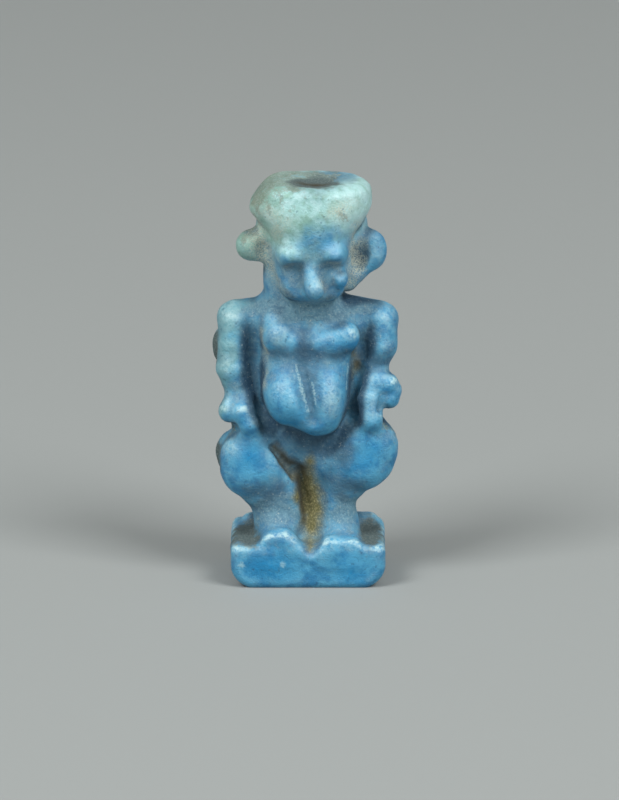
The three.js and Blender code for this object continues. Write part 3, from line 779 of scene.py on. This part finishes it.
def jaw_region():
    """Film that lies over the raised places too: round the face, on the wrist and down the trunk."""
    return join(
        0.3,
        limb((-2.2, -1.3, 18.9, 0.3), (-1.9, -1.4, 17.0, 0.35), (-1.0, -2.2, 16.2, 0.35), (1.2, -2.2, 16.1, 0.3)),
        limb((1.2, -2.2, 16.1, 0.3), (2.0, -0.9, 16.5, 0.4), (2.1, -1.1, 17.6, 0.3), (2.5, -1.2, 18.8, 0.3)),
        limb((-4.1, -1.0, 10.9, 0.3), (-3.5, -1.2, 10.5, 0.3)),
        limb((-2.45, -1.3, 13.6, 0.15), (-2.4, -1.3, 12.4, 0.2), (-2.3, -1.7, 11.4, 0.1)),
    )


def glazed_region():
    """Where the glaze has stayed clean: the knees, the forehead and the front of the base."""
    return join(
        0.3,
        ball((-3.4, -1.4, 6.7), (1.5, 1.6, 1.4)),
        ball((3.1, -1.6, 7.1), (1.6, 1.6, 1.5)),
        ball((0, -3.2, 1.1), (4.6, 1.2, 1.25)),
        spot(-1.1, 10.2, 1.0, high=1.5),
        spot(1.3, 10.2, 0.75, high=1.8),
        ball((0.2, -1.5, 20.3), (3.6, 2.2, 1.9)),
        spot(0.2, 17.0, 0.5, high=0.9),
    )


def soil_region():
    """Where the earth has stayed: between the legs, in the crease of the thigh and beside the trunk."""
    return join(
        0.2,
        limb((0.15, -2.8, 2.2, 0.2), (0.15, -2.2, 2.45, 0.35), (0.15, -1.5, 2.65, 0.4), (0.2, -1.1, 3.2, 0.55)),
        limb((0.2, -1.1, 3.2, 0.55), (0.25, -0.8, 3.9, 0.75), (0.2, -0.6, 5.0, 0.7)),
        limb((0.2, -0.6, 5.0, 0.7), (-0.05, -0.9, 6.1, 0.45), (0.1, -1.3, 6.6, 0.25)),
        limb((-0.6, -1.3, 5.9, 0.3), (-1.3, -1.45, 6.65, 0.16), (-1.85, -1.5, 7.4, 0.08)),
        ball((-0.55, -1.3, 4.7), (0.3, 0.5, 0.4)),
        limb((2.55, -0.9, 12.7, 0.08), (2.6, -0.8, 12.0, 0.15), (2.5, -0.8, 11.4, 0.08)),
    )


def mud_and_shade_region():
    """Dark earth with painted shadow on the darker side of the cleft, in the crease and in the gap beside the right
    arm, and dark earth in the deepest part of the crown.
    """
    return join(
        0.2,
        limb((-0.4, -0.4, 21.75, 0.1), (0.4, -0.5, 21.75, 0.3), (1.0, -0.4, 21.75, 0.1)),
        limb((0.0, -2.4, 2.4, 0.1), (-0.15, -1.2, 3.4, 0.15), (-0.3, -0.9, 4.6, 0.25), (-0.4, -1.1, 6.2, 0.35)),
        limb((-0.35, -1.1, 6.2, 0.35), (-1.1, -1.35, 6.6, 0.2), (-1.8, -1.45, 7.5, 0.12)),
        limb((2.6, -0.9, 12.6, 0.12), (2.65, -0.8, 11.9, 0.15)),
    )


def stain_region():
    """Dark stains on the crown, on the base beside the feet and on the flanges."""
    return join(
        0.2,
        ball((0.4, -0.6, 21.6), (1.5, 1.5, 0.6)),
        ball((-3.3, -0.8, 2.3), (0.95, 2.2, 0.5)),
        ball((3.3, -0.6, 2.3), (0.85, 2.4, 0.5)),
        ball((-5.0, 0.3, 12.6), (0.35, 1.0, 0.9)),
        ball((-4.9, 0.1, 6.5), (0.35, 1.0, 0.9)),
    )


def crust_region():
    """Olive crust over most of the crown, on the forehead and on one ear."""
    return join(
        0.2,
        ball((-0.8, 0.2, 21.8), (2.4, 2.6, 0.4)),
        ball((-2.3, 0.0, 21.3), (1.0, 2.4, 0.7)),
        spot(1.9, 20.4, 0.12),
        spot(-0.8, 21.1, 0.15),
        limb((3.5, -1.1, 9.1, 0.12), (4.1, -1.0, 8.6, 0.2), (4.5, -0.9, 8.0, 0.1)),
        limb((-4.2, -0.7, 8.7, 0.15), (-4.6, -0.6, 8.0, 0.15)),
        ball((-2.9, -0.4, 19.15), (0.75, 0.8, 0.3)),
    )


def verdigris_region():
    """Where the turquoise of the head turns green."""
    return join(
        0.3,
        spot(-0.2, 20.1, 0.7, high=0.5),
        spot(1.3, 21.0, 0.25),
        limb((-2.6, -1.6, 20.6, 0.4), (-2.0, -2.0, 19.4, 0.5), (-1.2, -2.4, 18.9, 0.2)),
    )


def clean_region():
    """Deep hollows that have kept their clear blue: beside the hooked hand."""
    return join(
        0.3,
        limb((3.1, -0.7, 12.9, 0.2), (2.9, -0.7, 11.2, 0.35), (2.6, -0.9, 9.8, 0.5), (2.4, -1.1, 9.0, 0.4)),
        ball((-2.9, -1.0, 9.0), (0.4, 0.8, 0.8)),
    )


def cobalt_and_shade_region():
    """Where the blue is strongest, with painted shade in strong blue under the belly, under the right breast and in the
    groove of the hooked hand.
    """
    return join(
        0.3,
        spot(0.6, 19.3, 0.85, high=0.55),
        ball((1.4, 1.0, 21.8), (1.0, 1.2, 0.4)),
        limb((4.05, -1.7, 10.3, 0.02), (3.98, -1.7, 9.7, 0.04)),
        spot(-0.9, 17.6, 0.4),
        spot(1.5, 17.6, 0.4),
        spot(-0.8, 9.2, 1.0, high=0.4),
        spot(2.1, 13.2, 0.5, high=0.25),
        spot(-2.0, 1.2, 1.1, y=-3.1, high=0.6),
        spot(2.2, 0.9, 0.5, y=-3.1),
        limb((3.6, -2.0, 7.4, 0.2), (2.8, -2.2, 6.6, 0.4), (1.8, -2.0, 6.4, 0.2)),
        spot(-3.2, 7.0, 0.5, y=-2.2),
        ball((1.55, -2.4, 16.55), (0.35, 0.5, 0.3)),
    )


def chalk_and_highlight_region():
    """Small pale marks: painted highlights along the folds of the belly and the edge of the trunk, and two pale spots
    on the base.
    """
    fold_lines = join(
        0.05,
        limb((-0.65, 0, 12.2, 0.02), (-0.32, 0, 11.0, 0.06), (0.0, 0, 9.8, 0.02)),
        limb((0.22, 0, 11.3, 0.02), (0.3, 0, 10.9, 0.05), (0.42, 0, 10.2, 0.02)),
    )
    edge_line = limb((2.35, -1.5, 12.7, 0.04), (2.22, -1.5, 12.0, 0.08), (2.1, -2.05, 10.9, 0.04))
    marks = [ball((-3.6, -3.1, 1.3), (0.16, 0.3, 0.16)), ball((-1.36, -3.1, 1.35), (0.14, 0.3, 0.18))]
    return join(0.05, on_front(fold_lines), edge_line, *marks)


def pale_region():
    """Where the glaze is pale from rubbing, most of all on the crown, one arm and the hands; much of it is painted
    highlight, on the arm, the hands, the right ear, the nose, a breast and the belly.
    """
    return join(
        0.2,
        spot(-4.3, 12.0, 0.3, y=-1.0, high=0.4),
        spot(-4.3, 10.0, 0.25, y=-1.0),
        limb((3.6, -2.0, 10.6, 0.02), (3.4, -2.1, 9.6, 0.06)),
        ball((3.6, -0.4, 18.2), (0.2, 0.4, 0.6)),
        ball((2.6, -0.2, 21.3), (0.9, 2.4, 0.9)),
        spot(-4.2, 14.6, 0.3, y=-0.6, high=0.2),
        spot(-4.0, 7.5, 0.4, y=-1.8, high=0.3),
        ball((2.5, -1.0, 20.7), (1.3, 2.4, 1.2)),
        limb((-2.4, -2.0, 20.8, 0.3), (-1.7, -2.2, 19.9, 0.3)),
        spot(1.3, 18.8, 0.4, high=0.2),
        ball((0.35, -3.4, 16.9), (0.25, 0.5, 0.6)),
        spot(-1.6, 13.7, 0.4, high=0.2),
        spot(1.2, 10.2, 0.3, high=0.6),
    )


def cream_region():
    """Pale grains on the forehead and the face, and down one edge of the trunk."""
    return join(
        0.2,
        limb((-2.8, -1.0, 20.9, 0.3), (-2.6, -1.2, 19.2, 0.6), (-2.4, -1.0, 17.6, 0.6), (-1.8, -1.5, 16.1, 0.4)),
        limb((-2.3, -2.0, 20.9, 0.2), (-1.5, -2.5, 20.3, 0.3), (-1.9, -2.3, 19.4, 0.2)),
        spot(1.8, 20.8, 0.5, high=0.3),
        limb((-2.45, -1.3, 13.9, 0.1), (-2.4, -1.5, 12.2, 0.15), (-2.3, -1.8, 11.0, 0.02)),
        limb((1.7, -2.7, 17.7, 0.15), (0.95, -2.9, 17.7, 0.15), (1.0, -2.8, 16.9, 0.25)),
        limb((-1.3, -2.6, 17.5, 0.05), (-0.6, -2.9, 17.4, 0.15), (-0.8, -2.8, 16.8, 0.2)),
        limb((2.6, -1.7, 19.8, 0.3), (2.5, -1.1, 18.4, 0.5), (2.4, -1.0, 17.2, 0.6), (2.0, -1.2, 16.2, 0.4)),
    )


def masks(clay, points):
    """Every mask that the glaze reads."""
    edge = waves(points, 1.6, 4, 21.0)
    x, y, z = points.T
    near = hollowness(clay, points, 0.45)
    wide = hollowness(clay, points, 1.5)
    raised = fade(roundness(clay, points, 0.6), 0.2, 1.5)
    rim = fade(roundness(clay, points, 0.3), 1.3, 3.2)
    upward = clay.normals(points)[:, 2]
    gutter = cover(points, 0.5, gutter_region(), 0.25, edge)
    socket = cover(points, 0.3, socket_region(), 0.2, edge)
    shade = cover(points, 0.6, shade_region(), 0.3, edge)
    filmed = cover(points, 0.5, film_region(), 0.4, edge)
    jaw = cover(points, 0.4, jaw_region(), 0.3, edge)
    head = fade(z - 0.35 * x + 0.8 * edge, 17.4, 20.2)
    greenish = fade(-x + 0.25 * (z - 14) + 0.8 * edge, 2.6, 4.4)
    clean = cover(points, 0.5, clean_region())
    face = cover(points, 0.6, ball((0.1, -2.6, 17.2), (1.8, 1.0, 1.3)))
    glazed = np.maximum(raised, cover(points, 0.8, glazed_region(), 0.4, edge))
    # Painted shade in the hollows, darker the more closed in they are, together with the glaze that pools there.
    deep = fade(0.35 * near + 0.9 * wide + 0.08 * edge, 0.12, 0.95)
    open_film = 0.5 * (1 - glazed) + 0.25 * edge * (1 - glazed)
    filmed = np.maximum.reduce([open_film, filmed * (1 - 0.75 * raised), jaw, wide, shade * 0.6])
    return {
        "hollow": np.maximum.reduce([deep, gutter * 0.9, socket]) * (1 - 0.35 * head) * (1 - 0.7 * face) * (1 - 0.85 * clean),
        "shade": shade * (1 - raised * 0.7),
        "film": np.clip(filmed, 0, 1) * (1 - 0.6 * clean) * (1 - 0.3 * face),
        # Painted highlights: pale on the upward-facing rims and raised places, together with the wear there.
        "rim": rim * fade(upward + 0.2 * edge, -0.1, 0.6) * (1 - fade(z, 15, 16) + fade(z, 20, 21) * fade(x, 1, 2)),
        "raised": raised * fade(upward + 0.3 * edge, -0.3, 0.5) * (1 - fade(z, 17.4, 18.4)),
        "head": head,
        "worn_and_highlight": cover(points, 0.6, pale_region(), 0.4, edge),
        "green": np.maximum(greenish, cover(points, 0.6, verdigris_region(), 0.5, edge)),
        "soil": cover(points, 0.4, soil_region(), 0.2, edge),
        "mud_and_shade": cover(points, 0.35, mud_and_shade_region(), 0.12, edge),
        "stain": cover(points, 0.45, stain_region(), 0.3, edge),
        "crust": cover(points, 0.35, crust_region(), 0.5, edge),
        "cobalt_and_shade": cover(points, 0.9, cobalt_and_shade_region(), 0.2, edge) * (1 - 0.15 * head),
        "chalk_and_highlight": cover(points, 0.1, chalk_and_highlight_region(), 0.06, edge),
        "cream": cover(points, 0.6, cream_region(), 0.4, edge),
    }


# Glaze


class Nodes:
    """Short calls that add the few kinds of node a material here needs."""

    def __init__(self, material):
        material.use_nodes = True
        self.tree = material.node_tree
        self.shader = self.tree.nodes["Principled BSDF"]

    def add(self, kind, **values):
        """A node, with its settings and the values of its inputs."""
        node = self.tree.nodes.new(kind)
        for name, value in values.items():
            if name in node.inputs:
                node.inputs[name].default_value = value
            else:
                setattr(node, name, value)
        return node

    def link(self, output, socket):
        """Joins an output to an input."""
        self.tree.links.new(output, socket)

    def feed(self, socket, value):
        """Gives an input an output, a number or a colour."""
        if isinstance(value, bpy.types.NodeSocket):
            self.link(value, socket)
        elif isinstance(value, (int, float)):
            socket.default_value = value
        else:
            socket.default_value = (*value, 1)

    def millimetres(self):
        """The place on the object, in millimetres."""
        place = self.add("ShaderNodeTexCoord").outputs["Object"]
        scale = self.add("ShaderNodeVectorMath", operation="SCALE", Scale=1 / MM)
        self.link(place, scale.inputs[0])
        return scale.outputs[0]

    def noise(self, place, per_mm, detail):
        """Cloudy noise, from 0 to 1."""
        node = self.add("ShaderNodeTexNoise", Scale=per_mm, Detail=detail, Roughness=0.6)
        self.link(place, node.inputs["Vector"])
        return node.outputs[0]

    def ramp(self, value, low, high):
        """0 below low and 1 above high."""
        node = self.add("ShaderNodeMapRange", interpolation_type="SMOOTHSTEP")
        self.link(value, node.inputs["Value"])
        node.inputs["From Min"].default_value = low
        node.inputs["From Max"].default_value = high
        return node.outputs[0]

    def between(self, value, low, high):
        """A number from low, where the value is 0, to high, where it is 1."""
        node = self.add("ShaderNodeMapRange")
        self.link(value, node.inputs["Value"])
        node.inputs["To Min"].default_value = low
        node.inputs["To Max"].default_value = high
        return node.outputs[0]

    def mask(self, name):
        """A mask of the mesh."""
        return self.add("ShaderNodeAttribute", attribute_name=name).outputs["Fac"]

    def broken(self, name, grain, spread):
        """A mask whose soft edge breaks up into grains."""
        shifted = self.sum(self.mask(name), self.times(self.sum(grain, -0.5), 2 * spread))
        inside = self.ramp(self.mask(name), 0.0, 0.3)
        return self.times(inside, self.ramp(shifted, 0.0, 1.0))

    def math(self, operation, first, second):
        """Two numbers made into one."""
        node = self.add("ShaderNodeMath", operation=operation)
        self.feed(node.inputs[0], first)
        self.feed(node.inputs[1], second)
        return node.outputs[0]

    def times(self, first, second):
        """The product of two numbers."""
        return self.math("MULTIPLY", first, second)

    def sum(self, first, second):
        """The sum of two numbers."""
        return self.math("ADD", first, second)

    def most(self, first, *others):
        """The greatest of several numbers."""
        for other in others:
            first = self.math("MAXIMUM", first, other)
        return first

    def mix(self, mask, under, over):
        """The colour over, laid on the colour under where the mask is 1."""
        node = self.add("ShaderNodeMix", data_type="RGBA")
        self.feed(node.inputs[0], mask)
        self.feed(node.inputs[6], under)
        self.feed(node.inputs[7], over)
        return node.outputs[2]


def glaze(nodes, size, place, mottle, grain):
    """Colours of the clean glaze: clouded blue, turquoise on the head, pale from rubbing and as painted highlights on
    raised places and upper edges, and strong blue that is in places painted shade.
    """
    cloud = nodes.noise(place, 1.7, 6)
    blue = nodes.mix(nodes.ramp(mottle, 0.4, 0.65), size.blue, size.deep_blue)
    blue = nodes.mix(nodes.times(nodes.broken("green", mottle, 0.5), 0.5), blue, size.green)
    greenish = nodes.mix(nodes.times(nodes.ramp(cloud, 0.42, 0.68), 0.8), size.turquoise, size.green)
    greenish = nodes.mix(nodes.times(nodes.ramp(cloud, 0.5, 0.34), 0.5), greenish, size.worn_and_highlight)
    greenish = nodes.mix(nodes.times(nodes.broken("green", grain, 0.6), 0.65), greenish, size.green)
    greenish = nodes.mix(nodes.times(nodes.ramp(grain, 0.57, 0.72), 0.35), greenish, size.crust)
    blue = nodes.mix(nodes.mask("head"), blue, greenish)
    patchy = nodes.between(nodes.ramp(grain, 0.3, 0.7), 0.25, 0.55)
    blue = nodes.mix(nodes.times(nodes.mask("worn_and_highlight"), patchy), blue, size.worn_and_highlight)
    strong = nodes.times(nodes.mask("cobalt_and_shade"), nodes.between(nodes.ramp(grain, 0.3, 0.7), 0.6, 1.0))
    blue = nodes.mix(strong, blue, size.cobalt_and_shade)
    # Painted highlights on raised places and upward-facing rims, laid in the pale glaze.
    rubbed_and_highlight = nodes.most(nodes.times(nodes.mask("raised"), 0.3), nodes.times(nodes.mask("rim"), 0.8))
    return nodes.mix(nodes.times(rubbed_and_highlight, nodes.ramp(grain, 0.25, 0.65)), blue, size.worn_and_highlight)


def film(nodes, size, under, grain, fine):
    """Grey film, glaze pooled in the hollows with painted shade there, and pale grains, laid on a colour."""
    silted = nodes.mix(nodes.between(nodes.ramp(grain, 0.3, 0.7), 0.55, 1.0), size.navy, size.silt)
    silted = nodes.mix(nodes.times(nodes.ramp(fine, 0.5, 0.75), 0.25), silted, size.dust)
    colour = nodes.mix(nodes.times(nodes.broken("film", grain, 0.3), 0.8), under, silted)
    # Painted shade: navy laid where the shade mask is.
    colour = nodes.mix(nodes.times(nodes.mask("shade"), 0.8), colour, size.navy)
    # Painted shade and pooled glaze in the hollows.
    deep = nodes.mix(nodes.times(nodes.ramp(grain, 0.4, 0.75), 0.2), size.navy, size.silt)
    return nodes.mix(nodes.mask("hollow"), colour, deep)


def faience(size):
    """The glaze with its wear, pooled colour, film, soil and stains, and its painted shade and highlights."""
    material = bpy.data.materials.new("faience")
    nodes = Nodes(material)
    place = nodes.millimetres()
    mottle = nodes.noise(place, 1.1, 5)
    grain = nodes.noise(place, 4.5, 3)
    fine = nodes.noise(place, 9.0, 2)

    colour = film(nodes, size, glaze(nodes, size, place, mottle, grain), grain, fine)
    flakes = nodes.times(nodes.mask("film"), nodes.ramp(nodes.noise(place, 6.5, 2), 0.62, 0.76))
    colour = nodes.mix(nodes.times(flakes, 0.55), colour, size.dust)
    crumbs = nodes.ramp(nodes.noise(place, 14.0, 3), 0.35, 0.6)
    colour = nodes.mix(nodes.times(nodes.times(nodes.mask("cream"), crumbs), 0.75), colour, size.cream)
    pits = nodes.times(nodes.ramp(nodes.noise(place, 4.0, 2), 0.36, 0.28), 0.4)
    colour = nodes.mix(pits, colour, size.navy)
    crusted = nodes.mix(nodes.times(nodes.ramp(fine, 0.45, 0.75), 0.6), size.crust, size.dust)
    colour = nodes.mix(nodes.times(nodes.broken("crust", fine, 1.2), 0.75), colour, crusted)
    stained = nodes.mix(nodes.times(nodes.ramp(fine, 0.4, 0.75), 0.2), size.stain, size.dust)
    colour = nodes.mix(nodes.broken("stain", grain, 0.4), colour, stained)
    earth = nodes.mix(nodes.ramp(fine, 0.4, 0.75), size.soil, size.sand)
    colour = nodes.mix(nodes.mask("soil"), colour, earth)
    colour = nodes.mix(nodes.mask("mud_and_shade"), colour, size.mud_and_shade)
    colour = nodes.mix(nodes.times(nodes.broken("chalk_and_highlight", fine, 1.2), 0.4), colour, size.worn_and_highlight)
    nodes.link(colour, nodes.shader.inputs["Base Color"])

    dull = nodes.most(nodes.mask("film"), nodes.mask("soil"), nodes.mask("stain"), nodes.mask("crust"))
    nodes.link(nodes.between(dull, 0.4, 0.85), nodes.shader.inputs["Roughness"])
    bump = nodes.add("ShaderNodeBump", Strength=1.0, Distance=0.00005)
    nodes.link(nodes.sum(nodes.times(grain, 0.6), nodes.times(fine, 0.4)), bump.inputs["Height"])
    nodes.link(bump.outputs["Normal"], nodes.shader.inputs["Normal"])
    return material


# Building the pieces


def mesh_object(name, points, faces, material):
    """A smooth mesh in metres."""
    mesh = bpy.data.meshes.new(name)
    mesh.from_pydata((points * MM).tolist(), [], faces.tolist())
    mesh.materials.append(material)
    mesh.polygons.foreach_set("use_smooth", [True] * len(mesh.polygons))
    piece = bpy.data.objects.new(name, mesh)
    bpy.context.scene.collection.objects.link(piece)
    return piece


class AMULET_OT_figure(bpy.types.Operator):
    """Model the figure and glaze it"""

    bl_idname = "amulet.figure"
    bl_label = "Model Figure"

    def execute(self, context):
        size = context.scene.amulet_figure
        low, high = [np.array(corner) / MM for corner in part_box(NODE)]
        clay = Clay(figure_form(size), low - 0.5, high + 0.5, size.cell / MM)
        points, faces, on_ground = skin(clay)
        points = settle(clay, points, faces, on_ground)
        tones = masks(clay, points)
        points = carve(clay, points, size)
        piece = mesh_object("amulet", points, faces, faience(size))
        for name, values in tones.items():
            piece.data.attributes.new(name, "FLOAT", "POINT").data.foreach_set("value", values.astype(np.float32))
        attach(piece, "root")
        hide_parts(NODE)
        return {"FINISHED"}


def area_light(name, place, across, power, target):
    """A soft square light, turned to the figure."""
    light = bpy.data.lights.new(name, "AREA")
    light.size = across
    light.energy = power
    lamp = bpy.data.objects.new(name, light)
    lamp.location = place
    lamp.rotation_euler = (target - Vector(place)).to_track_quat("-Z", "Y").to_euler()
    bpy.context.scene.collection.objects.link(lamp)


def paper(studio):
    """Matt grey paper."""
    material = bpy.data.materials.new("paper")
    nodes = Nodes(material)
    nodes.shader.inputs["Base Color"].default_value = (*studio.floor, 1)
    nodes.shader.inputs["Roughness"].default_value = 0.9
    return material


def floor_disc(material):
    """A wide round floor that curves up at its rim, so that it ends in no hard line."""
    flat, rise, turns = 260, 500, 96
    profile = [(flat * n / 12, 0) for n in range(1, 12)]
    profile += [(flat + rise * sin(a), rise * (1 - cos(a))) for a in np.linspace(0, radians(75), 12)]
    rings = [(r * cos(a), r * sin(a), z) for r, z in profile for a in np.linspace(0, 2 * pi, turns, endpoint=False)]
    points = np.array([(0, 0, 0), *rings])
    faces = [(0, 1 + n, 1 + (n + 1) % turns) for n in range(turns)]
    for ring in range(len(profile) - 1):
        for n in range(turns):
            m = (n + 1) % turns
            start = 1 + ring * turns
            faces.append((start + n, start + turns + n, start + turns + m, start + m))
    mesh = bpy.data.meshes.new("floor")
    mesh.from_pydata((points * MM).tolist(), [], faces)
    mesh.materials.append(material)
    mesh.polygons.foreach_set("use_smooth", [True] * len(mesh.polygons))
    disc = bpy.data.objects.new("floor", mesh)
    bpy.context.scene.collection.objects.link(disc)
    return disc


class AMULET_OT_studio(bpy.types.Operator):
    """Set the floor, the lights and the camera"""

    bl_idname = "amulet.studio"
    bl_label = "Set Studio"

    def execute(self, context):
        studio = context.scene.amulet_studio
        scene = context.scene
        scene.view_settings.view_transform = "Standard"
        floor_disc(paper(studio))
        target = Vector((0.081, 0, 9.698)) * MM
        area_light("left_light", (-0.36, -0.33, 0.52), 0.3, studio.side_light, target)
        area_light("right_light", (0.36, -0.33, 0.5), 0.3, studio.side_light, target)
        area_light("top_light", (0, -0.05, 0.45), 0.3, studio.top_light, target)
        world = bpy.data.worlds.new("studio")
        world.use_nodes = True
        world.node_tree.nodes["Background"].inputs["Color"].default_value = (1, 1, 1, 1)
        world.node_tree.nodes["Background"].inputs["Strength"].default_value = studio.sky
        scene.world = world
        camera = bpy.data.cameras.new("camera")
        camera.sensor_fit = "VERTICAL"
        camera.sensor_height = 36
        camera.lens = camera.sensor_height * studio.distance / (800 / 18.5 * MM)
        camera.clip_start = 0.01
        camera.clip_end = 10
        stand = bpy.data.objects.new("camera", camera)
        away = Vector((0, -cos(studio.elevation), sin(studio.elevation)))
        stand.location = target + away * studio.distance
        stand.rotation_euler = (-away).to_track_quat("-Z", "Y").to_euler()
        scene.collection.objects.link(stand)
        scene.camera = stand
        return {"FINISHED"}


class AMULET_PT_panel(bpy.types.Panel):
    """Lists what the amulet is made of"""

    bl_label = "Amulet"
    bl_space_type = "VIEW_3D"
    bl_region_type = "UI"
    bl_category = "Amulet"

    def draw(self, context):
        for group, operator in (("amulet_figure", AMULET_OT_figure), ("amulet_studio", AMULET_OT_studio)):
            settings = getattr(context.scene, group)
            box = self.layout.box()
            for name in settings.__annotations__:
                box.prop(settings, name)
            box.operator(operator.bl_idname)


CLASSES = (AmuletFigure, AmuletStudio, AMULET_OT_figure, AMULET_OT_studio, AMULET_PT_panel)


def register():
    """Registers the classes and their settings."""
    for cls in CLASSES:
        bpy.utils.register_class(cls)
    bpy.types.Scene.amulet_figure = PointerProperty(type=AmuletFigure)
    bpy.types.Scene.amulet_studio = PointerProperty(type=AmuletStudio)


def unregister():
    """Removes the settings and the classes."""
    del bpy.types.Scene.amulet_studio
    del bpy.types.Scene.amulet_figure
    for cls in reversed(CLASSES):
        bpy.utils.unregister_class(cls)


def main():
    """Builds the pieces in order."""
    register()
    bpy.ops.amulet.figure()
    bpy.ops.amulet.studio()


if __name__ == "__main__":
    main()
